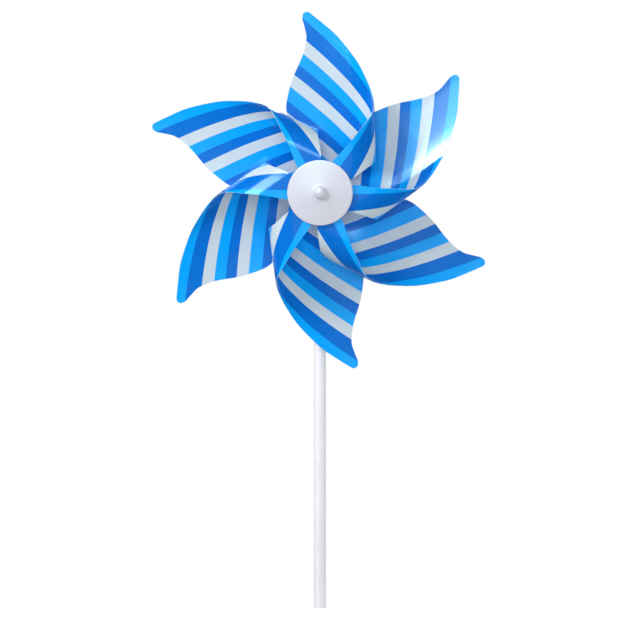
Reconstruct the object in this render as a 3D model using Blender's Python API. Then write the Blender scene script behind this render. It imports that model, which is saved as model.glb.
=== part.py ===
"""Pinwheel: six curled film blades on a plastic hub that spins on an axle at the top of a tube stick.

Frame: metres, +Z up along the stick, the wheel faces -Y. The origin is the middle of the stick's lower end.
The wheel's pieces are made in the hub frame: x to the right, y up, and w forward along the axle.
"""

import math

import bmesh
import bpy
from mathutils import Vector
from mathutils.geometry import delaunay_2d_cdt

MM = 0.001
GAP = 0.3 * MM                      # left between pieces that touch

# stick
HUB_HEIGHT = 285.0 * MM             # axle above the stick's lower end
TUBE_RADIUS = 4.0 * MM
TUBE_BORE = 3.0 * MM
BARREL_RADIUS = 4.2 * MM            # cross barrel that carries the axle
BARREL_LENGTH = 9.4 * MM
COLLAR_HEIGHT = 1.5 * MM
SHANK_LENGTH = 18.0 * MM
SHANK_TAPER = 0.6 * MM              # taken off the shank's radius at its lower end
SHANK_TAPER_LENGTH = 1.5 * MM
STANDOFF_LENGTH = 3.2 * MM

# axle and hub
AXLE_RADIUS = 1.25 * MM
RUNNING_BORE = 1.31 * MM            # bore that runs on the axle
POST_RADIUS = 3.0 * MM              # post that the blades hang on
FLANGE_RADIUS = 5.0 * MM
FLANGE_THICK = 1.25 * MM
BACK_DISC_RADIUS = 14.0 * MM
BACK_DISC_THICK = 1.6 * MM
RING_THICK = 1.5 * MM
ROOT_RING_RADIUS = 7.0 * MM
FLAP_RING_RADIUS = 9.0 * MM
SPACER_RADIUS = 4.6 * MM
WASHER_RADIUS = 2.9 * MM
WASHER_THICK = 0.6 * MM
FRONT_DISC_RADIUS = 22.0 * MM
FRONT_DISC_RISE = 1.9 * MM          # the disc is a shallow cone
DISC_EDGE = 0.9 * MM                # thickness at the rim
DISC_WALL = 1.2 * MM
BOSS_WALL = 1.8 * MM
KNOB_RADIUS = 4.3 * MM
KNOB_HEIGHT = 3.3 * MM
KNOB_SKIRT = 0.9 * MM               # straight lower part of the knob
KNOB_BITE = 2.0 * MM                # length of axle inside the knob
RETAINER_RADIUS = 3.2 * MM
RETAINER_LENGTH = 2.4 * MM
RETAINER_BEVEL = 0.5 * MM
RETAINER_BITE = 1.5 * MM            # length of axle inside the retainer

# film blades: u runs out along the straight lines of the bend, v across them
FILM = 0.3 * MM
LAYER_PITCH = FILM + GAP            # six films stacked on the hub post
TILT = math.radians(11.0)           # lean of the blade's face
ROOT_FLAT = 6.5 * MM                # flat part of the face beside the hub
ROOT_EASE = 4.0 * MM
CURL_RADIUS = 18.5 * MM
CURL_REACH = 38.0 * MM              # furthest point of the curl, square to the straight lines
TAB_RADIUS = 6.2 * MM
TAB_HOLE = POST_RADIUS + GAP
LAYER_NEAR = 7.5 * MM               # inside this distance from a hole a film keeps its own layer
LAYER_FAR = 21.0 * MM               # outside this one all the films share one shape
TIP_LEAD = 3.8                      # degrees from the blade's straight lines to its tip
TIP_ANGLES = (94.8, 40.3, -23.2, -78.4, -141.9, 158.9)

ROUND_STEPS = 40
TUBE_STEPS = 48
DISC_STEPS = 64
CURL_ROWS = 15                      # rows of points round a blade's curl
FILM_LENGTH = 126.0 * MM            # a little more than the film's reach along its straight lines
POINT_PITCH = 9.0 * MM
POINT_MARGIN = 2.2 * MM             # inner points keep this far from the film's edge


# the bend of a blade: heading of the film across its straight lines

def bend_heading(v, straight):
    """Angle between the film and the wheel's plane at flat distance v from the root hole."""
    curl_start = ROOT_FLAT + ROOT_EASE + straight
    if v < curl_start:
        return TILT * min(max((abs(v) - ROOT_FLAT) / ROOT_EASE, 0.0), 1.0)
    return min(TILT + (v - curl_start) / CURL_RADIUS, math.pi)


def straight_length():
    """Length of the straight, leaning part of the face that makes the curl reach CURL_REACH."""
    eased = sum(math.cos(TILT * (i + 0.5) / 20) for i in range(20)) * ROOT_EASE / 20
    curl = CURL_RADIUS * (1.0 - math.sin(TILT))
    return (CURL_REACH - ROOT_FLAT - eased - curl) / math.cos(TILT)


STRAIGHT = straight_length()
CURL_START = ROOT_FLAT + ROOT_EASE + STRAIGHT
CURL_END = CURL_START + CURL_RADIUS * (math.pi - TILT)
FLAP_HOLE = CURL_END + CURL_REACH - CURL_RADIUS


def bend_point(v):
    """Position across (X) and forward (w) of the film's middle surface at flat distance v."""
    steps = max(4, int(abs(v) / (0.5 * MM)))
    width = v / steps
    across = 0.0
    forward = 0.0
    for i in range(steps):
        heading = bend_heading((i + 0.5) * width, STRAIGHT)
        across += math.cos(heading) * width
        forward += math.sin(heading) * width
    return across, forward


HUB_DEPTH = bend_point(FLAP_HOLE)[1]


# stations along the axle, forward of the middle of the root tabs
STACK_HALF = 2.5 * LAYER_PITCH + FILM / 2 + GAP
BACK_DISC_REAR = -STACK_HALF - BACK_DISC_THICK
FLANGE_REAR = BACK_DISC_REAR - GAP - FLANGE_THICK
REAR_WASHER_REAR = FLANGE_REAR - GAP - WASHER_THICK
STANDOFF_REAR = REAR_WASHER_REAR - GAP - STANDOFF_LENGTH
BARREL_FRONT = STANDOFF_REAR - GAP
STICK_STATION = BARREL_FRONT - BARREL_LENGTH / 2
BARREL_REAR = BARREL_FRONT - BARREL_LENGTH
RETAINER_REAR = BARREL_REAR - GAP - RETAINER_LENGTH
FLAP_RING_REAR = HUB_DEPTH - STACK_HALF - RING_THICK
DISC_REAR = HUB_DEPTH + STACK_HALF
DISC_FRONT = DISC_REAR + DISC_EDGE + FRONT_DISC_RISE
POST_FRONT = DISC_FRONT - WASHER_THICK - GAP
KNOB_REAR = DISC_FRONT + GAP
AXLE_FRONT = KNOB_REAR + KNOB_BITE
AXLE_REAR = BARREL_REAR - GAP - RETAINER_BITE


def clear_scene():
    for item in list(bpy.data.objects):
        bpy.data.objects.remove(item, do_unlink=True)


def material(name, colour, roughness, metallic=0.0):
    made = bpy.data.materials.new(name)
    made.use_nodes = True
    shader = made.node_tree.nodes["Principled BSDF"]
    shader.inputs["Base Color"].default_value = (*colour, 1.0)
    shader.inputs["Roughness"].default_value = roughness
    shader.inputs["Metallic"].default_value = metallic
    return made


def add_object(name, mesh, finish, parent=None):
    item = bpy.data.objects.new(name, mesh)
    bpy.context.collection.objects.link(item)
    mesh.materials.append(finish)
    item.parent = parent
    return item


def mesh_from(bm, name, sharp_angle=35.0):
    bmesh.ops.recalc_face_normals(bm, faces=bm.faces)
    mesh = bpy.data.meshes.new(name)
    bm.to_mesh(mesh)
    bm.free()
    mesh.shade_smooth()
    mesh.set_sharp_from_angle(angle=math.radians(sharp_angle))
    return mesh


def turned_mesh(name, profile, steps=ROUND_STEPS):
    """Solid of revolution about local Z from a profile of (radius, height) points.

    A profile that starts and ends on the axis stays open there; any other one is closed.
    """
    bm = bmesh.new()
    verts = [bm.verts.new((radius, 0.0, height)) for radius, height in profile]
    edges = [bm.edges.new(pair) for pair in zip(verts[:-1], verts[1:])]
    if profile[0][0] > 0.0:
        edges.append(bm.edges.new((verts[-1], verts[0])))
    bmesh.ops.spin(bm, geom=verts + edges, cent=(0, 0, 0), axis=(0, 0, 1), angle=2 * math.pi,
                   steps=steps, use_merge=True, use_normal_flip=False, use_duplicate=False)
    bmesh.ops.remove_doubles(bm, verts=bm.verts, dist=1e-6)
    return mesh_from(bm, name)


def tube_profile(bore, radius, low, high):
    return [(bore, low), (radius, low), (radius, high), (bore, high)]


def arc_points(centre, radius, start, end, count):
    """Points on an arc, angles in degrees, both ends included."""
    points = []
    for i in range(count + 1):
        angle = math.radians(start + (end - start) * i / count)
        points.append((centre[0] + radius * math.cos(angle), centre[1] + radius * math.sin(angle)))
    return points


def smooth_curve(points, count):
    """Catmull-Rom curve through the points, with count steps between neighbours."""
    ends = [Vector(p) for p in points]
    ends = [2 * ends[0] - ends[1]] + ends + [2 * ends[-1] - ends[-2]]
    curve = []
    for i in range(1, len(ends) - 2):
        before, here, after, beyond = ends[i - 1:i + 3]
        for step in range(count):
            t = step / count
            point = 2 * here + (after - before) * t
            point += (2 * before - 5 * here + 4 * after - beyond) * t ** 2
            point += (3 * here - before - 3 * after + beyond) * t ** 3
            curve.append(tuple(0.5 * point))
    curve.append(tuple(ends[-2]))
    return curve


# the flat cut of a blade

def blade_outline():
    """Closed outline of the flat film, in metres, anticlockwise from the root tab."""
    hole = FLAP_HOLE / MM
    root_tab = arc_points((0, 0), TAB_RADIUS / MM, 140, 320, 8)
    trailing = smooth_curve(
        [(11.0, 1.2), (18.5, 2.4), (27, -2), (38, -12), (48, -19.5), (57, -22), (67, -20.4),
         (78, -16.9), (89, -11.8), (97, -8.8), (105.3, -7.4), (112, -8.6), (117.5, -10)], 2)
    tip = arc_points((119.2, -6.8), 3.1, -70, 40, 4)
    leading = smooth_curve(
        [(116.3, 1.6), (105.3, 13.8), (88.9, 26.7), (74, 36.1), (60.5, 46.5), (50, 60.5),
         (42.4, hole - 28.5), (34.2, hole - 21.5), (28.7, hole - 16.3), (21.2, hole - 9.3),
         (12.5, hole - 5.4)], 2)
    flap_tab = arc_points((0, hole), TAB_RADIUS / MM, -15, 235, 10)
    inner = smooth_curve(
        [(5.2, hole - 12.5), (8.1, hole - 19.8), (11.4, hole - 25.7), (16.9, hole - 35.3),
         (19.8, 49.5), (17.0, 35), (11.0, 22.5), (7.0, 14.0)], 2)
    points = root_tab + trailing + tip + leading + flap_tab + inner
    return [(u * MM, v * MM) for u, v in points]


def inside(point, outline):
    """Even-odd test of a point against a closed outline."""
    u, v = point
    crossed = False
    for (u0, v0), (u1, v1) in zip(outline, outline[1:] + outline[:1]):
        if (v0 > v) != (v1 > v) and u < u0 + (u1 - u0) * (v - v0) / (v1 - v0):
            crossed = not crossed
    return crossed


def edge_distance(point, outline):
    return min((Vector(point) - Vector(corner)).length for corner in outline)


def bend_stations():
    """Values of v at which the film gets a row of points: wide apart where flat, closer in the curl."""
    stations = [i * 6.0 * MM for i in range(-3, 4)]
    for i in range(CURL_ROWS + 1):
        stations.append(CURL_START + (CURL_END - CURL_START) * i / CURL_ROWS)
    stations.append(CURL_END + 7.0 * MM)
    stations.append(CURL_END + 13.0 * MM)
    return stations


def flat_film():
    """Triangulated flat film with its two holes: points and triangles."""
    outline = blade_outline()
    holes = [arc_points((0, centre), TAB_HOLE, 0, 330, 11) for centre in (0.0, FLAP_HOLE)]
    points = list(outline)
    edges = [(i, (i + 1) % len(outline)) for i in range(len(outline))]
    for hole in holes:
        first = len(points)
        points += hole
        edges += [(first + i, first + (i + 1) % len(hole)) for i in range(len(hole))]
    fixed = list(points)
    for row, v in enumerate(bend_stations()):
        for column in range(int(FILM_LENGTH / POINT_PITCH) + 1):
            spot = ((column + 0.5 * (row % 2)) * POINT_PITCH, v)
            if inside(spot, outline) and edge_distance(spot, fixed) > POINT_MARGIN:
                if not any(inside(spot, hole) for hole in holes):
                    points.append(spot)
    verts, _, faces, _, _, _ = delaunay_2d_cdt([Vector(p) for p in points], edges, [], 0, 1e-7)
    kept = []
    for face in faces:
        centre = sum((verts[i] for i in face), Vector((0, 0))) / 3
        if inside(centre, outline) and not any(inside(centre, hole) for hole in holes):
            kept.append(face)
    return [tuple(p) for p in verts], kept


def layer_share(u, v):
    """1 beside either hole, where the films lie in their own layers, fading to 0 further out."""
    distance = min(math.hypot(u, v), math.hypot(u, v - FLAP_HOLE))
    t = min(max((distance - LAYER_NEAR) / (LAYER_FAR - LAYER_NEAR), 0.0), 1.0)
    return 1.0 - t * t * (3.0 - 2.0 * t)


def blade_mesh(name, film, layer):
    """Bend the flat film into a closed solid of film thickness."""
    points, triangles = film
    bm = bmesh.new()
    sides = []
    for side in (-0.5, 0.5):
        verts = []
        for u, v in points:
            across, forward = bend_point(v)
            heading = bend_heading(v, STRAIGHT)
            lift = side * FILM
            across -= lift * math.sin(heading)
            forward += lift * math.cos(heading) + layer * layer_share(u, v)
            verts.append(bm.verts.new((u, -across, forward)))
        sides.append(verts)
    rear, front = sides
    rim = {}
    for a, b, c in triangles:
        bm.faces.new((rear[a], rear[b], rear[c]))
        bm.faces.new((front[c], front[b], front[a]))
        for start, end in ((a, b), (b, c), (c, a)):
            if (end, start) in rim:
                del rim[(end, start)]
            else:
                rim[(start, end)] = True
    for start, end in rim:
        bm.faces.new((rear[end], rear[start], front[start], front[end]))
    loose = [vert for vert in bm.verts if not vert.link_faces]
    bmesh.ops.delete(bm, geom=loose, context="VERTS")
    return mesh_from(bm, name)


def make_blades(wheel):
    film = flat_film()
    blue = (0.0, 0.30, 0.90)
    for number, tip_angle in enumerate(TIP_ANGLES, start=1):
        name = f"blade_{number}"
        layer = (3.5 - number) * LAYER_PITCH
        blade = add_object(name, blade_mesh(name, film, layer), material(name, blue, 0.25), wheel)
        blade.rotation_euler = (0.0, 0.0, math.radians(tip_angle - TIP_LEAD))


# turned pieces of the wheel

def make_hub(wheel):
    white = (0.85, 0.85, 0.87)
    hole = POST_RADIUS + GAP
    core = [(RUNNING_BORE, FLANGE_REAR), (FLANGE_RADIUS, FLANGE_REAR),
            (FLANGE_RADIUS, FLANGE_REAR + FLANGE_THICK), (POST_RADIUS, FLANGE_REAR + FLANGE_THICK),
            (POST_RADIUS, POST_FRONT), (RUNNING_BORE, POST_FRONT)]
    back = tube_profile(hole, BACK_DISC_RADIUS, BACK_DISC_REAR, -STACK_HALF)
    root_ring = tube_profile(hole, ROOT_RING_RADIUS, STACK_HALF, STACK_HALF + RING_THICK)
    spacer = tube_profile(hole, SPACER_RADIUS, STACK_HALF + RING_THICK + GAP, FLAP_RING_REAR - GAP)
    flap_ring = tube_profile(hole, FLAP_RING_RADIUS, FLAP_RING_REAR, FLAP_RING_REAR + RING_THICK)
    pieces = {"hub_core": core, "back_disc": back, "root_ring": root_ring,
              "hub_spacer": spacer, "flap_ring": flap_ring}
    for name, profile in pieces.items():
        add_object(name, turned_mesh(name, profile), material(name, white, 0.4), wheel)
    make_front_disc(wheel)


def make_front_disc(wheel):
    """Shallow cone with a rounded rim and a boss round the post, open at the back between the two."""
    hole = POST_RADIUS + GAP
    boss = hole + BOSS_WALL
    rim_radius = DISC_EDGE / 2
    rim_centre = (FRONT_DISC_RADIUS - rim_radius, DISC_REAR + rim_radius)
    rim = arc_points(rim_centre, rim_radius, -90, 80, 5)
    profile = [(hole, DISC_REAR), (boss, DISC_REAR), (boss, DISC_FRONT - DISC_WALL),
               (FRONT_DISC_RADIUS - 2.5 * rim_radius, DISC_REAR)]
    profile += rim
    profile.append((hole, DISC_FRONT))
    mesh = turned_mesh("front_disc", profile, DISC_STEPS)
    add_object("front_disc", mesh, material("front_disc", (0.80, 0.79, 0.83), 0.35), wheel)


# pieces that stay with the stick

def make_axle(hub):
    bore = AXLE_RADIUS + GAP
    steel = (0.6, 0.6, 0.62)
    white = (0.85, 0.85, 0.87)
    pin = [(0.0, AXLE_REAR), (AXLE_RADIUS, AXLE_REAR), (AXLE_RADIUS, AXLE_FRONT), (0.0, AXLE_FRONT)]
    add_object("axle_pin", turned_mesh("axle_pin", pin), material("axle_pin", steel, 0.3, 1.0), hub)
    washers = {"thrust_washer_rear": REAR_WASHER_REAR, "thrust_washer_front": POST_FRONT + GAP}
    for name, rear in washers.items():
        mesh = turned_mesh(name, tube_profile(bore, WASHER_RADIUS, rear, rear + WASHER_THICK))
        add_object(name, mesh, material(name, (0.7, 0.7, 0.7), 0.4), hub)
    sleeve = tube_profile(bore, WASHER_RADIUS, STANDOFF_REAR, STANDOFF_REAR + STANDOFF_LENGTH)
    mesh = turned_mesh("standoff_sleeve", sleeve)
    add_object("standoff_sleeve", mesh, material("standoff_sleeve", white, 0.4), hub)
    retainer_front = BARREL_REAR - GAP
    cap = [(0.0, RETAINER_REAR), (RETAINER_RADIUS - RETAINER_BEVEL, RETAINER_REAR),
           (RETAINER_RADIUS, RETAINER_REAR + RETAINER_BEVEL), (RETAINER_RADIUS, retainer_front),
           (bore, retainer_front), (bore, AXLE_REAR - GAP), (0.0, AXLE_REAR - GAP)]
    mesh = turned_mesh("rear_retainer", cap)
    add_object("rear_retainer", mesh, material("rear_retainer", white, 0.4), hub)
    make_knob(hub)


def make_knob(hub):
    """Domed cap pushed on the front end of the axle."""
    bore = AXLE_RADIUS + GAP
    dome = []
    for i in range(8):
        angle = math.pi / 2 * i / 7
        height = KNOB_REAR + KNOB_SKIRT + (KNOB_HEIGHT - KNOB_SKIRT) * math.sin(angle)
        dome.append((KNOB_RADIUS * math.cos(angle) if i < 7 else 0.0, height))
    profile = [(0.0, AXLE_FRONT + GAP), (bore, AXLE_FRONT + GAP), (bore, KNOB_REAR),
               (KNOB_RADIUS, KNOB_REAR)] + dome
    mesh = turned_mesh("front_knob", profile)
    add_object("front_knob", mesh, material("front_knob", (0.85, 0.85, 0.88), 0.25), hub)


def make_tube(tube_top):
    profile = tube_profile(TUBE_BORE, TUBE_RADIUS, 0.0, tube_top)
    mesh = turned_mesh("stick_tube", profile, TUBE_STEPS)
    add_object("stick_tube", mesh, material("stick_tube", (0.88, 0.88, 0.92), 0.3))


def cutter(name, mesh):
    item = bpy.data.objects.new(name, mesh)
    bpy.context.collection.objects.link(item)
    item.location = (0.0, 0.0, HUB_HEIGHT)
    item.rotation_euler = (math.pi / 2, 0.0, 0.0)
    item.hide_render = True
    item.display_type = "WIRE"
    return item


def make_head_plug(tube_top):
    """Moulded head: shank in the tube, collar on its end, and a cross barrel with the axle's bore."""
    shank = TUBE_BORE - GAP
    collar = tube_top + GAP
    neck = collar + COLLAR_HEIGHT
    low = tube_top - SHANK_LENGTH
    profile = [(0.0, low), (shank - SHANK_TAPER, low), (shank, low + SHANK_TAPER_LENGTH),
               (shank, collar), (TUBE_RADIUS, collar), (TUBE_RADIUS, neck), (shank, neck),
               (shank, HUB_HEIGHT), (0.0, HUB_HEIGHT)]
    plug = add_object("head_plug", turned_mesh("head_plug", profile),
                      material("head_plug", (0.85, 0.85, 0.87), 0.4))
    half = BARREL_LENGTH / 2
    barrel = [(0.0, -half), (BARREL_RADIUS, -half), (BARREL_RADIUS, half), (0.0, half)]
    bore = AXLE_RADIUS + GAP
    hole = [(0.0, -BARREL_LENGTH), (bore, -BARREL_LENGTH), (bore, BARREL_LENGTH), (0.0, BARREL_LENGTH)]
    steps = (("barrel", barrel, "UNION"), ("bore", hole, "DIFFERENCE"))
    for name, profile, operation in steps:
        modifier = plug.modifiers.new(name, "BOOLEAN")
        modifier.operation = operation
        modifier.solver = "EXACT"
        modifier.object = cutter(f"cutter_{name}", turned_mesh(f"cutter_{name}", profile))


def empty_at_hub(name):
    item = bpy.data.objects.new(name, None)
    bpy.context.collection.objects.link(item)
    item.location = (0.0, STICK_STATION, HUB_HEIGHT)
    item.rotation_euler = (math.pi / 2, 0.0, 0.0)
    return item


def main():
    clear_scene()
    tube_top = HUB_HEIGHT - BARREL_RADIUS - COLLAR_HEIGHT - GAP
    make_tube(tube_top)
    make_head_plug(tube_top)
    make_axle(empty_at_hub("axle_frame"))
    wheel = empty_at_hub("wheel_frame")
    make_blades(wheel)
    make_hub(wheel)
    bpy.context.view_layer.update()


main()
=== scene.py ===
"""Looks of the pinwheel: printed film blades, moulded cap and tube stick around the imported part.

Row frame: metres, +Z up along the stick, the wheel faces -Y. Wheel pieces are made in the hub frame
(x right, y up, w forward) and turned into the row frame by hub_frame().
"""

import math

import bmesh
import bpy
from mathutils import Matrix, Vector
from mathutils.geometry import delaunay_2d_cdt


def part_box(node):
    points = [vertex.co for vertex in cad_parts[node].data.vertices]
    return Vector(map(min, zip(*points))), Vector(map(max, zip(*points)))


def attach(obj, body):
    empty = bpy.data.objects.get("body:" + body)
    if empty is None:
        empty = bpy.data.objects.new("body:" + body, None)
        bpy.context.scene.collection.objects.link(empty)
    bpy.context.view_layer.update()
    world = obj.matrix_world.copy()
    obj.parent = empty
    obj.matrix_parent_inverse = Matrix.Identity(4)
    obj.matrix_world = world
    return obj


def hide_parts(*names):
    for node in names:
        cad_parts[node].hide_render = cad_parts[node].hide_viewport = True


MM = 0.001

# blade film: u runs out along the straight lines of the bend, v across them
FILM = 0.3 * MM                     # thickness
LAYER_PITCH = 0.6 * MM              # of the films stacked on the hub
TILT = math.radians(11.0)           # lean of the face
ROOT_FLAT = 6.5 * MM                # half width of the flat strip beside the root hole
ROOT_EASE = 4.0 * MM                # the lean sets in over this width
CURL_RADIUS = 18.5 * MM
CURL_REACH = 38.0 * MM              # from the root hole across to the curl's outermost line
FACE_BOW = math.radians(0.28) / MM  # the face isn't quite flat: its lean grows across it
BOW_MIDDLE = 12.0 * MM              # here the lean is TILT
FACE_EDGE = -22.0 * MM              # the face runs from here to the curl
FLAT_UNTIL = 16.0 * MM              # the flat strip beside the hub fades out between these u
LEANING_FROM = 44.0 * MM
TAB_RADIUS = 6.2 * MM
TAB_HOLE = 3.3 * MM
LAYER_NEAR = 7.5 * MM               # the layers run together between these distances from a hole
LAYER_FAR = 21.0 * MM
TIP_LEAD = 3.8                      # degrees from a blade's u direction to its tip
TIP_ANGLES = (94.8, 40.3, -23.2, -78.4, -141.9, 158.9)
ROW_PITCH = 1.5 * MM                # spacing of the film's rows of points
POINT_PITCH = 2.5 * MM              # spacing of the points in a row
POINT_GAP = 0.8 * MM                # no inner point comes nearer to the outline than this
FILM_LENGTH = 126.0 * MM
WAVE = 0.072 * MM                   # height of the film's slow unevenness

# printed stripes: bands between circles about one far point of the flat film
STRIPE_CENTRE = (-174.0 * MM, -226.5 * MM)
# radii in mm
STRIPE_EDGES = (249.0, 255.7, 262.8, 269.5, 276.2, 283.3, 290.0, 296.7, 303.0,
                309.8, 315.2, 322.8, 329.9, 336.6, 343.8, 352.0, 361.5)
STRIPE_RANGE = (230.0 * MM, 372.0 * MM)
STRIPE_MIDDLE = 340.0 * MM          # the stripes spread and close up a little about this radius
# v in mm, and the factor there on a radius's distance from STRIPE_MIDDLE
STRIPE_SPREAD = ((-25, 0.90), (-5, 0.955), (10, 1.03), (20, 1.09), (34, 1.21),
                 (46, 1.14), (58, 0.98), (70, 0.95), (100, 0.86))
# the UV map named flat covers this square of u and v
UV_CORNER = (-20.0 * MM, -30.0 * MM)
UV_SIZE = 150.0 * MM

LIGHT_BLUE = (0.0, 0.35, 0.92)
DARK_BLUE = (0.0, 0.15, 0.60)
PRINT_WHITE = (0.53, 0.63, 0.70)

# the other plastics: a lighter and a darker tint each
CAP_TINTS = ((0.56, 0.56, 0.63), (0.53, 0.53, 0.60))
HUB_TINTS = ((0.84, 0.84, 0.86), (0.76, 0.76, 0.79))
WASHER_TINTS = ((0.66, 0.66, 0.66), (0.55, 0.55, 0.56))
TUBE_TINTS = ((0.88, 0.88, 0.92), (0.82, 0.82, 0.86))
TUBE_LINE_TINT = (0.70, 0.70, 0.78)

NOISE_RANGE = (0.3, 0.7)            # where most of a noise pattern's values lie

# turned pieces
AXLE_HOLE = 3.3 * MM                # in the front disc
DISC_GAP = 0.3 * MM                 # behind the front disc
BOSS_WALL = 1.8 * MM
DISC_WALL = 1.2 * MM
LIP_RADIUS = 5.2 * MM
DISC_RIM = 0.45 * MM
KNOB_BORE = 1.55 * MM
KNOB_BORE_DEPTH = 2.3 * MM
KNOB_FOOT = 0.45 * MM
TUBE_WALL = 1.0 * MM
TUBE_ROUNDING = 0.18 * MM           # of the tube's ends
SOFT_EDGE = 0.12 * MM               # bevel on the nodes that are shown as they are

# camera
VIEW_WIDTH = 0.4350                 # at the wheel
VIEW_HEIGHT = 0.1979                # of the view's middle
VIEW_PITCH = math.radians(2.4)      # the camera looks slightly down
WHEEL_PLANE = -0.020                # y of the point that the camera looks at
LENS = 300.0
SENSOR = 36.0

# soft lights: name, lean off the wheel's axis and turn from +X (degrees), side (m), power (W), seen by
LIGHT_DISTANCE = 1.4
LIGHT_TARGET = 20.0 * MM            # in front of the root tabs, about half way through the wheel
SOFT_LIGHTS = (("key", 60, 145, 0.7, 17.0, ("diffuse",)),
               ("front_fill", 3, 90, 0.6, 8.6, ("diffuse",)),
               ("side_fill", 92, 345, 0.7, 7.0, ("diffuse",)),
               ("back_fill", 150, 70, 0.7, 6.0, ("diffuse", "glossy")))

# long strips that the film mirrors, all turned the same way about the axis
GLOSS_DISTANCE = 0.7
GLOSS_TURN = 36.5                   # degrees anticlockwise from +X
# lean off the axis and width (degrees), radiance, start and end along the strip (m)
GLOSS_STRIPS = ((9.0, 6.0, 5.8, 0.095, 0.24),
                (15.0, 6.0, 7.8, 0.09, 0.24),
                (20.5, 5.0, 22.0, 0.08, 0.24),
                (26.0, 6.0, 46.0, 0.07, 0.24),
                (50.0, 42.0, 46.0, 0.07, 0.24),
                (38.0, 38.0, 16.0, -0.16, -0.02))
GLOSS_COLOUR = (0.56, 0.92, 1.0)    # the strips stand for a pale blue surround

# world and floor
WHITE = (1.0, 1.0, 1.0)
WORLD_GLOW = 0.42                   # what lights the object
WORLD_GLOW_COLOUR = (0.95, 0.97, 1.0)
WORLD_SHEEN = 0.03                  # what shows in its reflections
FLOOR_RADIUS = 6.5
FLOOR_DROP = 0.9                    # below the stick's lower end
FLOOR_GLOW = 0.42

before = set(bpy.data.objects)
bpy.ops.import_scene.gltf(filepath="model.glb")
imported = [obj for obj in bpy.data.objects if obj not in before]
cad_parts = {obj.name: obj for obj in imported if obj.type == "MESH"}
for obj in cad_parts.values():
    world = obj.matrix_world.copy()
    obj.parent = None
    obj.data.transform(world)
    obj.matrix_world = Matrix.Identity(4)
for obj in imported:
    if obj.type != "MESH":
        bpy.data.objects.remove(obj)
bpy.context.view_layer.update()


# node helpers

def start_material(name, **values):
    """A material with a Principled shader whose plain sockets are set from values."""
    made = bpy.data.materials.new(name)
    made.use_nodes = True
    shader = made.node_tree.nodes["Principled BSDF"]
    for key, value in values.items():
        shader.inputs[key.replace("_", " ")].default_value = value
    return made, shader


def plug(material, socket, value):
    """Links another node's output to the socket, or sets the socket to a plain value."""
    if isinstance(value, bpy.types.NodeSocket):
        material.node_tree.links.new(value, socket)
    elif value is not None:
        socket.default_value = value


def node(material, kind, inputs=(), **settings):
    """Adds a node; inputs pairs a socket's name or number with a value or another node's output."""
    made = material.node_tree.nodes.new(kind)
    for key, value in settings.items():
        setattr(made, key, value)
    for key, value in inputs:
        plug(material, made.inputs[key], value)
    return made


def maths(material, operation, a, b):
    return node(material, "ShaderNodeMath", [(0, a), (1, b)], operation=operation).outputs[0]


def stretch(material, value, low, high, new_low, new_high):
    """Maps low..high to new_low..new_high and holds the ends."""
    made = node(material, "ShaderNodeMapRange",
                [("Value", value), ("From Min", low), ("From Max", high),
                 ("To Min", new_low), ("To Max", new_high)])
    return made.outputs[0]


def graded(material, pattern, new_low, new_high):
    """Spreads the middle range of a noise pattern over new_low..new_high."""
    return stretch(material, pattern, *NOISE_RANGE, new_low, new_high)


def colour(rgb):
    return (*rgb, 1.0)


def blend_colours(material, factor, a, b, how="MIX"):
    made = node(material, "ShaderNodeMix", data_type="RGBA", blend_type=how)
    for socket, value in ((made.inputs[0], factor), (made.inputs[6], a), (made.inputs[7], b)):
        plug(material, socket, value)
    return made.outputs[2]


def noise(material, where, scale, detail=3.0, roughness=0.55, distortion=0.0):
    made = node(material, "ShaderNodeTexNoise",
                [("Vector", where), ("Scale", scale), ("Detail", detail),
                 ("Roughness", roughness), ("Distortion", distortion)])
    return made.outputs["Fac"]


def scaled(material, where, scale):
    made = node(material, "ShaderNodeMapping", [("Vector", where), ("Scale", scale)])
    return made.outputs[0]


def bump(material, height, strength, distance, normal=None):
    made = node(material, "ShaderNodeBump",
                [("Height", height), ("Strength", strength), ("Distance", distance),
                 ("Normal", normal)])
    return made.outputs[0]


def row_position(material):
    """Coordinates that stay with the piece: its own mesh coordinates, in metres."""
    return node(material, "ShaderNodeTexCoord").outputs["Object"]


# materials

def spread_stripes(material, flat, radius):
    """Scales the radius about STRIPE_MIDDLE by the spread at this v."""
    split = node(material, "ShaderNodeSeparateXYZ", [("Vector", flat)])
    curve = node(material, "ShaderNodeFloatCurve", [("Value", split.outputs["Y"])])
    line = curve.mapping.curves[0]
    for i, (v, spread) in enumerate(STRIPE_SPREAD):
        place = (v * MM - UV_CORNER[1]) / UV_SIZE
        if i < 2:  # a new curve already has two points
            line.points[i].location = (place, spread - 0.5)
        else:
            line.points.new(place, spread - 0.5)
    curve.mapping.update()
    spread = maths(material, "ADD", curve.outputs[0], 0.5)
    middle = STRIPE_MIDDLE / UV_SIZE
    offset = maths(material, "MULTIPLY", maths(material, "SUBTRACT", radius, middle), spread)
    return maths(material, "ADD", offset, middle)


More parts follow.
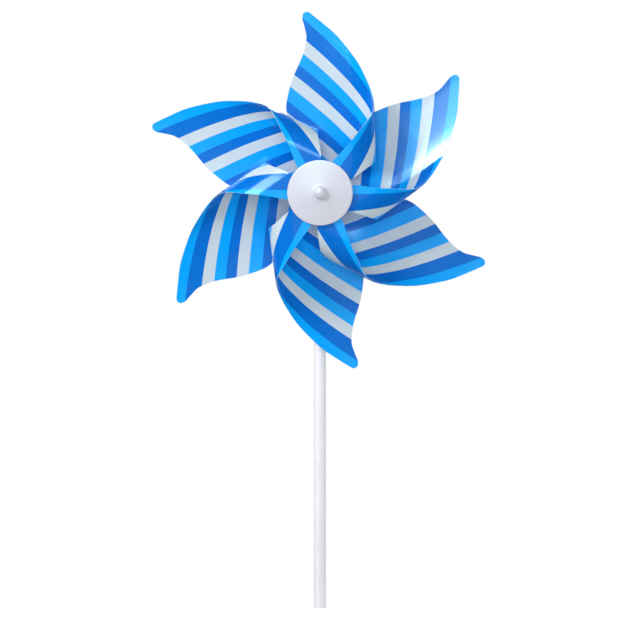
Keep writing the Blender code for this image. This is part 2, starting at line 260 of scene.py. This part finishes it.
def film_material():
    """Glossy film printed with bands of three colours in turn, with faint smudges and streaks."""
    made, shader = start_material("printed_film", IOR=1.47, Coat_Weight=0.2, Coat_Roughness=0.05)
    flat = node(made, "ShaderNodeUVMap", uv_map="flat").outputs[0]
    centre = [(STRIPE_CENTRE[i] - UV_CORNER[i]) / UV_SIZE for i in range(2)]
    ragged = noise(made, flat, 900.0, 2.0)
    radius = node(made, "ShaderNodeVectorMath", [(0, flat), (1, (*centre, 0.0))],
                  operation="DISTANCE").outputs["Value"]
    radius = maths(made, "ADD", radius, graded(made, ragged, -0.0004, 0.0004))
    radius = spread_stripes(made, flat, radius)
    low, high = (value / UV_SIZE for value in STRIPE_RANGE)
    place = stretch(made, radius, low, high, 0.0, 1.0)
    ramp = node(made, "ShaderNodeValToRGB", [("Fac", place)])
    ramp.color_ramp.interpolation = "CONSTANT"
    bands = (PRINT_WHITE, DARK_BLUE, LIGHT_BLUE)
    stops = [(0.0, 0)]
    for i, edge in enumerate(STRIPE_EDGES, start=1):
        stops.append(((edge * MM - STRIPE_RANGE[0]) / (STRIPE_RANGE[1] - STRIPE_RANGE[0]), i))
    for place, i in stops:
        element = ramp.color_ramp.elements[0] if i == 0 else ramp.color_ramp.elements.new(place)
        element.position = place
        element.color = colour(bands[i % 3])
    last_of_new_ramp = ramp.color_ramp.elements[-1]
    ramp.color_ramp.elements.remove(last_of_new_ramp)
    cloudy = graded(made, noise(made, flat, 7.0, 4.0), 0.95, 1.0)
    grain = graded(made, noise(made, flat, 260.0, 2.0), 0.975, 1.0)
    ink = maths(made, "MULTIPLY", cloudy, grain)
    printed = blend_colours(made, 1.0, ramp.outputs[0], ink, "MULTIPLY")
    plug(made, shader.inputs["Base Color"], printed)
    smudge = noise(made, flat, 9.0, 5.0, 0.6, 0.4)
    streak = noise(made, scaled(made, flat, (6.0, 160.0, 1.0)), 3.0, 3.0)
    gloss = maths(made, "ADD", stretch(made, smudge, 0.3, 0.75, 0.10, 0.17),
                  stretch(made, streak, 0.55, 0.8, 0.0, 0.05))
    plug(made, shader.inputs["Roughness"], gloss)
    peel = bump(made, noise(made, flat, 55.0, 2.0), 0.10, 0.06 * MM)
    plug(made, shader.inputs["Normal"], bump(made, streak, 0.08, 0.02 * MM, peel))
    return made


def edge_material():
    """The film's cut edge, where its pale core shows."""
    made, shader = start_material("film_cut_edge")
    grain = noise(made, row_position(made), 2600.0, 3.0)
    tint = blend_colours(made, grain, colour((0.30, 0.55, 0.80)), colour((0.80, 0.87, 0.93)))
    plug(made, shader.inputs["Base Color"], tint)
    plug(made, shader.inputs["Roughness"], graded(made, grain, 0.35, 0.6))
    return made


def moulded_material(name, tints, rough, grain_scale=900.0, grain_height=0.03 * MM, **values):
    """Moulded plastic: soft cloudiness, fine spark-eroded grain and uneven gloss."""
    made, shader = start_material(name, **values)
    light, dark = tints
    where = row_position(made)
    clouds = noise(made, where, 60.0, 4.0)
    grain = noise(made, where, grain_scale, 3.0)
    specks = stretch(made, noise(made, where, 2400.0, 1.0), 0.72, 0.80, 0.0, 0.35)
    tint = blend_colours(made, graded(made, clouds, 0.0, 1.0), colour(dark), colour(light))
    tint = blend_colours(made, specks, tint, colour([0.86 * c for c in dark]))
    plug(made, shader.inputs["Base Color"], tint)
    plug(made, shader.inputs["Roughness"], graded(made, grain, rough - 0.06, rough + 0.08))
    plug(made, shader.inputs["Normal"], bump(made, grain, 0.25, grain_height))
    return made


def tube_material():
    """Extruded plastic tube: long die lines, faint clouds and a smooth skin."""
    made, shader = start_material("extruded_tube", IOR=1.5, Subsurface_Weight=0.35,
                                  Subsurface_Radius=(4.0 * MM, 4.0 * MM, 4.5 * MM),
                                  Subsurface_Scale=1.0)
    where = row_position(made)
    lines = noise(made, scaled(made, where, (1.0, 1.0, 0.012)), 2600.0, 3.0)
    clouds = noise(made, scaled(made, where, (1.0, 1.0, 0.35)), 90.0, 3.0)
    tint = blend_colours(made, graded(made, clouds, 0.0, 1.0),
                         colour(TUBE_TINTS[1]), colour(TUBE_TINTS[0]))
    tint = blend_colours(made, stretch(made, lines, 0.45, 0.75, 0.0, 0.3), tint, colour(TUBE_LINE_TINT))
    plug(made, shader.inputs["Base Color"], tint)
    plug(made, shader.inputs["Roughness"], graded(made, lines, 0.20, 0.34))
    plug(made, shader.inputs["Normal"], bump(made, lines, 0.2, 0.03 * MM))
    return made


def steel_material():
    """Drawn wire: fine lines along the pin."""
    made, shader = start_material("drawn_wire", Metallic=1.0)
    where = row_position(made)
    lines = noise(made, scaled(made, where, (1.0, 0.03, 1.0)), 5200.0, 3.0)
    tint = blend_colours(made, lines, colour((0.42, 0.42, 0.44)), colour((0.72, 0.72, 0.73)))
    plug(made, shader.inputs["Base Color"], tint)
    plug(made, shader.inputs["Roughness"], graded(made, lines, 0.22, 0.4))
    plug(made, shader.inputs["Normal"], bump(made, lines, 0.3, 0.02 * MM))
    return made


def floor_material():
    """Matt pale grey with faint clouds, lifted by a glow of its own."""
    made, shader = start_material("pale_floor", Specular_IOR_Level=0.1, Emission_Strength=FLOOR_GLOW)
    clouds = noise(made, row_position(made), 3.0, 3.0)
    tint = blend_colours(made, clouds, colour((0.86, 0.86, 0.86)), colour((0.92, 0.92, 0.92)))
    plug(made, shader.inputs["Base Color"], tint)
    plug(made, shader.inputs["Emission Color"], tint)
    plug(made, shader.inputs["Roughness"], graded(made, clouds, 0.7, 0.9))
    return made


# the bend of a blade

def bend_heading(v, bow):
    """Angle between the film and the wheel's plane at flat distance v from the root hole."""
    if v < CURL_START:
        eased = min(max((abs(v) - ROOT_FLAT) / ROOT_EASE, 0.0), 1.0)
        return eased * (TILT + bow * (v - BOW_MIDDLE))
    start = TILT + bow * (CURL_START - BOW_MIDDLE)
    return min(start + (math.pi - start) * (v - CURL_START) / (CURL_END - CURL_START), math.pi)


def straight_length():
    """Length of the leaning part of the face that makes the curl reach CURL_REACH."""
    eased = sum(math.cos(TILT * (i + 0.5) / 20) for i in range(20)) * ROOT_EASE / 20
    curl = CURL_RADIUS * (1.0 - math.sin(TILT))
    return (CURL_REACH - ROOT_FLAT - eased - curl) / math.cos(TILT)


STRAIGHT = straight_length()
CURL_START = ROOT_FLAT + ROOT_EASE + STRAIGHT
CURL_END = CURL_START + CURL_RADIUS * (math.pi - TILT)
FLAP_HOLE = CURL_END + CURL_REACH - CURL_RADIUS


def bend_point(v, bow):
    """Position across (X) and forward (w) of the film's middle surface at flat distance v."""
    steps = max(4, int(abs(v) / (0.5 * MM)))
    width = v / steps
    across = 0.0
    forward = 0.0
    for i in range(steps):
        heading = bend_heading((i + 0.5) * width, bow)
        across += math.cos(heading) * width
        forward += math.sin(heading) * width
    return across, forward


HUB_DEPTH = bend_point(FLAP_HOLE, 0.0)[1]
BOWED_FLAP = bend_point(FLAP_HOLE, FACE_BOW)


def bowed_point(v):
    """bend_point of the bowed face, eased back in the curl so that the flap meets the hub."""
    across, forward = bend_point(v, FACE_BOW)
    t = min(max((v - CURL_START) / (CURL_END - CURL_START), 0.0), 1.0)
    share = t * t * (3.0 - 2.0 * t)
    return across - BOWED_FLAP[0] * share, forward + (HUB_DEPTH - BOWED_FLAP[1]) * share


def arc_points(centre, radius, start, end, count):
    """Points on an arc, angles in degrees, both ends included."""
    points = []
    for i in range(count + 1):
        angle = math.radians(start + (end - start) * i / count)
        points.append((centre[0] + radius * math.cos(angle), centre[1] + radius * math.sin(angle)))
    return points


def smooth_curve(points, count):
    """Catmull-Rom curve through the points, with count steps between neighbours."""
    ends = [Vector(p) for p in points]
    ends = [2 * ends[0] - ends[1]] + ends + [2 * ends[-1] - ends[-2]]
    curve = []
    for i in range(1, len(ends) - 2):
        before, here, after, beyond = ends[i - 1:i + 3]
        for step in range(count):
            t = step / count
            point = 2 * here + (after - before) * t
            point += (2 * before - 5 * here + 4 * after - beyond) * t ** 2
            point += (3 * here - before - 3 * after + beyond) * t ** 3
            curve.append(tuple(0.5 * point))
    curve.append(tuple(ends[-2]))
    return curve


def blade_outline():
    """Closed outline of the flat film, anticlockwise from the root tab, as (u, v) points.

    They are written here in millimetres, and the ones near the flap's end run back from its hole.
    """
    hole = FLAP_HOLE / MM
    root_tab = arc_points((0, 0), TAB_RADIUS / MM, 140, 320, 16)
    trailing = smooth_curve(
        [(11.0, 1.2), (18.5, 2.4), (27, -2), (38, -12), (48, -19.5), (57, -22), (67, -20.4),
         (78, -16.9), (89, -11.8), (97, -8.8), (105.3, -7.4), (112, -8.6), (117.5, -10)], 5)
    tip = arc_points((119.2, -6.8), 3.1, -70, 40, 8)
    leading = smooth_curve(
        [(116.3, 1.6), (105.3, 13.8), (88.9, 26.7), (74, 36.1), (60.5, 46.5), (50, 60.5),
         (42.4, hole - 28.5), (34.2, hole - 21.5), (28.7, hole - 16.3), (21.2, hole - 9.3),
         (12.5, hole - 5.4)], 6)
    flap_tab = arc_points((0, hole), TAB_RADIUS / MM, -15, 235, 20)
    inner = smooth_curve(
        [(5.2, hole - 12.5), (8.1, hole - 19.8), (11.4, hole - 25.7), (16.9, hole - 35.3),
         (19.8, 49.5), (17.0, 35), (11.0, 22.5), (7.0, 14.0)], 6)
    points = root_tab + trailing + tip + leading + flap_tab + inner
    return [(u * MM, v * MM) for u, v in points]


def inside(point, outline):
    """Even-odd test of a point against a closed outline."""
    u, v = point
    crossed = False
    for (u0, v0), (u1, v1) in zip(outline, outline[1:] + outline[:1]):
        if (v0 > v) != (v1 > v) and u < u0 + (u1 - u0) * (v - v0) / (v1 - v0):
            crossed = not crossed
    return crossed


def flat_film():
    """Triangulated flat film with its two holes: points and triangles."""
    outline = blade_outline()
    holes = [arc_points((0, centre), TAB_HOLE, 0, 345, 23) for centre in (0.0, FLAP_HOLE)]
    points = list(outline)
    edges = [(i, (i + 1) % len(outline)) for i in range(len(outline))]
    for hole in holes:
        first = len(points)
        points += hole
        edges += [(first + i, first + (i + 1) % len(hole)) for i in range(len(hole))]
    fixed = list(points)
    low = min(v for u, v in outline)
    high = max(v for u, v in outline)
    rows = int((high - low) / ROW_PITCH)
    for row in range(1, rows):
        v = low + (high - low) * row / rows
        for column in range(-3, int(FILM_LENGTH / POINT_PITCH) + 1):
            spot = ((column + 0.5 * (row % 2)) * POINT_PITCH, v)
            if not inside(spot, outline) or any(inside(spot, hole) for hole in holes):
                continue
            if min((spot[0] - u) ** 2 + (v - w) ** 2 for u, w in fixed) > POINT_GAP ** 2:
                points.append(spot)
    verts, _, faces, _, _, _ = delaunay_2d_cdt([Vector(p) for p in points], edges, [], 0, 1e-7)
    kept = []
    for face in faces:
        centre = sum((verts[i] for i in face), Vector((0, 0))) / 3
        if inside(centre, outline) and not any(inside(centre, hole) for hole in holes):
            kept.append(face)
    return [tuple(p) for p in verts], kept


def layer_share(u, v):
    """1 beside either hole, where the films lie in their own layers, fading to 0 further out."""
    distance = min(math.hypot(u, v), math.hypot(u, v - FLAP_HOLE))
    t = min(max((distance - LAYER_NEAR) / (LAYER_FAR - LAYER_NEAR), 0.0), 1.0)
    return 1.0 - t * t * (3.0 - 2.0 * t)


def lean_lift(v):
    """Lift that gives the face one lean with no flat strip in it, none at its two edges."""
    if not FACE_EDGE < v < CURL_START:
        return 0.0
    low, high = bowed_point(FACE_EDGE)[1], bowed_point(CURL_START)[1]
    t = (v - FACE_EDGE) / (CURL_START - FACE_EDGE)
    leaning = low + (high - low) * t + 0.5 * FACE_BOW * (v - FACE_EDGE) * (v - CURL_START)
    return leaning - bowed_point(v)[1]


def lean_share(u):
    """0 beside the hub, where the film keeps its flat strip, rising to 1 further out."""
    t = min(max((u - FLAT_UNTIL) / (LEANING_FROM - FLAT_UNTIL), 0.0), 1.0)
    return t * t * (3.0 - 2.0 * t)


def wave(u, v, number):
    """Slow unevenness of one film, none beside the hub."""
    share = 1.0 - layer_share(u, v)
    phase = 1.7 * number
    height = math.sin(u / (17.0 * MM) + v / (31.0 * MM) + phase)
    height += 0.6 * math.sin(u / (9.0 * MM) - v / (23.0 * MM) + 2.3 * phase)
    return WAVE * height * share


def finished_mesh(bm, name, sharp_angle=35.0):
    """The finished mesh of bm, shaded smooth except at edges sharper than this many degrees."""
    bmesh.ops.recalc_face_normals(bm, faces=bm.faces)
    mesh = bpy.data.meshes.new(name)
    bm.to_mesh(mesh)
    bm.free()
    mesh.shade_smooth()
    mesh.set_sharp_from_angle(angle=math.radians(sharp_angle))
    return mesh


def film_mesh(name, film, number):
    """The bent film as a closed skin: printed faces, and a rim that shows the film's core."""
    points, triangles = film
    layer = (0.5 * (1 + len(TIP_ANGLES)) - number) * LAYER_PITCH
    bm = bmesh.new()
    uv_layer = bm.loops.layers.uv.new("flat")
    flat_of = {}
    sides = []
    bends = {}
    for u, v in points:
        if v not in bends:
            bends[v] = (*bowed_point(v), bend_heading(v, FACE_BOW), lean_lift(v))
    for side in (-0.5, 0.5):
        verts = []
        for u, v in points:
            across, forward, heading, leaning = bends[v]
            lift = side * FILM + wave(u, v, number)
            across -= lift * math.sin(heading)
            forward += lift * math.cos(heading) + layer * layer_share(u, v) + leaning * lean_share(u)
            vert = bm.verts.new((u, -across, forward))
            flat_of[vert] = ((u - UV_CORNER[0]) / UV_SIZE, (v - UV_CORNER[1]) / UV_SIZE)
            verts.append(vert)
        sides.append(verts)
    rear, front = sides
    rim = {}
    for a, b, c in triangles:
        bm.faces.new((rear[a], rear[b], rear[c]))
        bm.faces.new((front[c], front[b], front[a]))
        for start, end in ((a, b), (b, c), (c, a)):
            if (end, start) in rim:
                del rim[(end, start)]
            else:
                rim[(start, end)] = True
    for start, end in rim:
        face = bm.faces.new((rear[end], rear[start], front[start], front[end]))
        face.material_index = 1
    for face in bm.faces:
        for loop in face.loops:
            loop[uv_layer].uv = flat_of[loop.vert]
    loose = [vert for vert in bm.verts if not vert.link_faces]
    bmesh.ops.delete(bm, geom=loose, context="VERTS")
    return finished_mesh(bm, name, 50.0)


# turned pieces

def turned_mesh(name, profile, steps):
    """Solid of revolution about local Z from a profile of (radius, height) points."""
    bm = bmesh.new()
    verts = [bm.verts.new((radius, 0.0, height)) for radius, height in profile]
    edges = [bm.edges.new(pair) for pair in zip(verts[:-1], verts[1:])]
    if profile[0][0] > 0.0:
        edges.append(bm.edges.new((verts[-1], verts[0])))
    bmesh.ops.spin(bm, geom=verts + edges, cent=(0, 0, 0), axis=(0, 0, 1), angle=2 * math.pi,
                   steps=steps, use_merge=True, use_normal_flip=False, use_duplicate=False)
    bmesh.ops.remove_doubles(bm, verts=bm.verts, dist=1e-7)
    return finished_mesh(bm, name)


def rounded(profile, radius, count=4):
    """A closed profile with each outer corner cut back to a small curve."""
    made = []
    for i, corner in enumerate(profile):
        here = Vector(corner)
        before = Vector(profile[i - 1])
        after = Vector(profile[(i + 1) % len(profile)])
        reach = min(radius, (before - here).length / 2.1, (after - here).length / 2.1)
        start = here + (before - here).normalized() * reach
        end = here + (after - here).normalized() * reach
        for step in range(count + 1):
            t = step / count
            made.append(tuple(start * (1 - t) ** 2 + here * 2 * t * (1 - t) + end * t ** 2))
    return made


def add_piece(name, mesh, materials, body, stands_for):
    """Adds a finer piece that rides on body and replaces the CAD nodes in stands_for."""
    piece = bpy.data.objects.new(name, mesh)
    bpy.context.scene.collection.objects.link(piece)
    for made in materials:
        mesh.materials.append(made)
    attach(piece, body)
    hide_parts(*stands_for)


def hub_frame():
    """Hub coordinates to row coordinates; the root tabs' middle is at w = 0."""
    front_low, front_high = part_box("front_disc")
    station = front_high.y + HUB_DEPTH + stack_half()
    height = (front_low.z + front_high.z) / 2
    return Matrix.Translation((0.0, station, height)) @ Matrix.Rotation(math.pi / 2, 4, "X")


def stack_half():
    """Half the height of six film layers, with the gap to the disc in front of them."""
    return 0.5 * (len(TIP_ANGLES) - 1) * LAYER_PITCH + FILM / 2 + DISC_GAP


def make_blades(hub):
    film = flat_film()
    printed = film_material()
    cut = edge_material()
    for number, tip_angle in enumerate(TIP_ANGLES, start=1):
        mesh = film_mesh(f"film_{number}", film, number)
        turn = Matrix.Rotation(math.radians(tip_angle - TIP_LEAD), 4, "Z")
        mesh.transform(hub @ turn)
        add_piece(f"film_{number}", mesh, (printed, cut), "wheel", [f"blade_{number}"])


def make_disc(hub, finish):
    """Shallow cone with a rounded rim, a raised lip round its middle and a boss behind."""
    low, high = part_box("front_disc")
    radius = (high.x - low.x) / 2
    rear = HUB_DEPTH + stack_half()
    front = rear + (high.y - low.y)
    boss = AXLE_HOLE + BOSS_WALL
    edge = arc_points((radius - DISC_RIM, rear + DISC_RIM), DISC_RIM, -90, 84, 10)
    outer = edge[-1]
    face = []
    for i in range(1, 12):
        t = i / 12
        along = outer[0] + (LIP_RADIUS + 0.2 * MM - outer[0]) * t
        face.append((along, outer[1] + (front - 0.12 * MM - outer[1]) * t))
    lip = [(LIP_RADIUS, front - 0.10 * MM), (LIP_RADIUS - 0.2 * MM, front - 0.02 * MM),
           (LIP_RADIUS - 0.4 * MM, front), (LIP_RADIUS - 0.8 * MM, front),
           (AXLE_HOLE + 0.1 * MM, front), (AXLE_HOLE, front - 0.1 * MM)]
    profile = [(AXLE_HOLE, rear), (boss, rear), (boss, front - DISC_WALL),
               (radius - 2.5 * DISC_RIM, rear)]
    mesh = turned_mesh("cap_disc", profile + edge + face + lip, 192)
    mesh.transform(hub)
    add_piece("cap_disc", mesh, (finish,), "wheel", ["front_disc"])


def make_knob(hub, finish):
    """Domed cap on the axle's front end, with a small foot."""
    low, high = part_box("front_knob")
    radius = (high.x - low.x) / 2
    height = high.y - low.y
    rear = hub.translation.y - high.y
    foot = rear + KNOB_FOOT
    dome_radius = radius - 0.25 * MM
    dome_start = 2 * KNOB_FOOT
    dome = []
    for i in range(17):
        angle = math.pi / 2 * i / 16
        across = dome_radius * math.cos(angle) if i < 16 else 0.0
        dome.append((across, rear + dome_start + (height - dome_start) * math.sin(angle)))
    depth = rear + KNOB_BORE_DEPTH
    profile = [(0.0, depth), (KNOB_BORE, depth), (KNOB_BORE, rear), (radius - 0.1 * MM, rear),
               (radius, rear + 0.1 * MM), (radius, foot - 0.1 * MM),
               (radius - 0.12 * MM, foot), (dome_radius, foot + 0.08 * MM)]
    mesh = turned_mesh("axle_knob", profile + dome, 96)
    mesh.transform(hub)
    add_piece("axle_knob", mesh, (finish,), "stick", ["front_knob"])


def make_stick():
    """Extruded tube with softened ends."""
    low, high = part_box("stick_tube")
    radius = (high.x - low.x) / 2
    bore = radius - TUBE_WALL
    corners = [(bore, low.z), (radius, low.z), (radius, high.z), (bore, high.z)]
    profile = rounded(corners, TUBE_ROUNDING)
    mesh = turned_mesh("tube_stick", profile, 128)
    add_piece("tube_stick", mesh, (tube_material(),), "stick", ["stick_tube"])


def dress_cad_nodes():
    """Materials and softened edges for the nodes that are shown as they are."""
    hub_white = moulded_material("hub_plastic", HUB_TINTS, 0.42)
    washer = moulded_material("washer_plastic", WASHER_TINTS, 0.48, 1600.0)
    looks = {"hub_core": hub_white, "back_disc": hub_white, "root_ring": hub_white,
             "hub_spacer": hub_white, "flap_ring": hub_white, "head_plug": hub_white,
             "standoff_sleeve": hub_white, "rear_retainer": hub_white,
             "thrust_washer_front": washer, "thrust_washer_rear": washer,
             "axle_pin": steel_material()}
    for name, made in looks.items():
        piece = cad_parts[name]
        piece.data.materials.clear()
        piece.data.materials.append(made)
        soft = piece.modifiers.new("soft_edges", "BEVEL")
        soft.width = SOFT_EDGE
        soft.segments = 2
        soft.limit_method = "ANGLE"
        soft.angle_limit = math.radians(40.0)


# stage

def area_light(name, direction, distance, size, power, target, seen_by):
    """Soft light aimed at target, its second side along the way it leans off the wheel's axis.

    seen_by says whether it lights surfaces ("diffuse") or shows in them ("glossy").
    """
    data = bpy.data.lights.new(name, "AREA")
    data.shape = "RECTANGLE"
    data.size, data.size_y = size
    data.energy = power
    lamp = bpy.data.objects.new(name, data)
    bpy.context.scene.collection.objects.link(lamp)
    outwards = Vector(direction).normalized()
    side = outwards.cross(Vector((0.0, -1.0, 0.0))).normalized()
    along = outwards.cross(side)
    turned = Matrix((side, along, outwards)).transposed().to_quaternion()
    lamp.matrix_world = Matrix.LocRotScale(target + outwards * distance, turned, None)
    lamp.visible_camera = False
    lamp.visible_diffuse = "diffuse" in seen_by
    lamp.visible_glossy = "glossy" in seen_by
    return lamp


def off_axis(lean, turn):
    """Direction that leans this many degrees off the wheel's axis, turned anticlockwise from +X."""
    lean, turn = math.radians(lean), math.radians(turn)
    return (math.sin(lean) * math.cos(turn), -math.cos(lean), math.sin(lean) * math.sin(turn))


def background(tree, rgb, strength):
    made = tree.nodes.new("ShaderNodeBackground")
    made.inputs["Color"].default_value = colour(rgb)
    made.inputs["Strength"].default_value = strength
    return made


def make_world():
    """White for the camera, softer for what lights the object, dark for what it mirrors."""
    world = bpy.data.worlds.new("studio")
    world.use_nodes = True
    bpy.context.scene.world = world
    tree = world.node_tree
    tree.nodes.clear()
    path = tree.nodes.new("ShaderNodeLightPath")
    seen = background(tree, WHITE, 1.0)
    glow = background(tree, WORLD_GLOW_COLOUR, WORLD_GLOW)
    sheen = background(tree, WHITE, WORLD_SHEEN)
    lit = tree.nodes.new("ShaderNodeMixShader")
    final = tree.nodes.new("ShaderNodeMixShader")
    out = tree.nodes.new("ShaderNodeOutputWorld")
    tree.links.new(path.outputs["Is Glossy Ray"], lit.inputs[0])
    tree.links.new(glow.outputs[0], lit.inputs[1])
    tree.links.new(sheen.outputs[0], lit.inputs[2])
    tree.links.new(path.outputs["Is Camera Ray"], final.inputs[0])
    tree.links.new(lit.outputs[0], final.inputs[1])
    tree.links.new(seen.outputs[0], final.inputs[2])
    tree.links.new(final.outputs[0], out.inputs[0])


def make_floor():
    """Round floor that neither lights the object nor shows in it."""
    bm = bmesh.new()
    bmesh.ops.create_circle(bm, cap_ends=True, radius=FLOOR_RADIUS, segments=128)
    mesh = bpy.data.meshes.new("floor")
    bm.to_mesh(mesh)
    bm.free()
    floor = bpy.data.objects.new("floor", mesh)
    bpy.context.scene.collection.objects.link(floor)
    floor.location = (0.0, 0.0, -FLOOR_DROP)
    mesh.materials.append(floor_material())
    floor.visible_glossy = False
    floor.visible_diffuse = False


def make_camera():
    """Long lens straight in front of the wheel, a little above it."""
    data = bpy.data.cameras.new("camera")
    data.lens = LENS
    data.sensor_width = SENSOR
    distance = VIEW_WIDTH * LENS / SENSOR
    camera = bpy.data.objects.new("camera", data)
    bpy.context.scene.collection.objects.link(camera)
    camera.location = (0.0, WHEEL_PLANE - distance * math.cos(VIEW_PITCH),
                       VIEW_HEIGHT + distance * math.sin(VIEW_PITCH))
    camera.rotation_euler = (math.pi / 2 - VIEW_PITCH, 0.0, 0.0)
    bpy.context.scene.camera = camera


def make_lights(hub):
    """Soft lights round the wheel, and the strips that make the glare on the film."""
    target = hub.translation + Vector((0.0, -LIGHT_TARGET, 0.0))
    for name, lean, turn, side, power, seen_by in SOFT_LIGHTS:
        area_light(name, off_axis(lean, turn), LIGHT_DISTANCE, (side, side), power, target, seen_by)
    along = Vector(off_axis(90.0, GLOSS_TURN))
    for number, (lean, width, radiance, start, end) in enumerate(GLOSS_STRIPS, start=1):
        size = (end - start, math.radians(width) * GLOSS_DISTANCE)
        power = radiance * math.pi * size[0] * size[1]
        aim = target + along * (0.5 * (start + end))
        strip = area_light(f"gloss_{number}", off_axis(lean, GLOSS_TURN + 90.0),
                           GLOSS_DISTANCE, size, power, aim, ("glossy",))
        strip.data.color = GLOSS_COLOUR


def main():
    bpy.context.scene.view_settings.view_transform = "Standard"
    hub = hub_frame()
    cap = moulded_material("cap_plastic", CAP_TINTS, 0.36, 1300.0, 0.01 * MM, IOR=1.46)
    make_blades(hub)
    make_disc(hub, cap)
    make_knob(hub, cap)
    make_stick()
    dress_cad_nodes()
    make_world()
    make_floor()
    make_camera()
    make_lights(hub)


main()
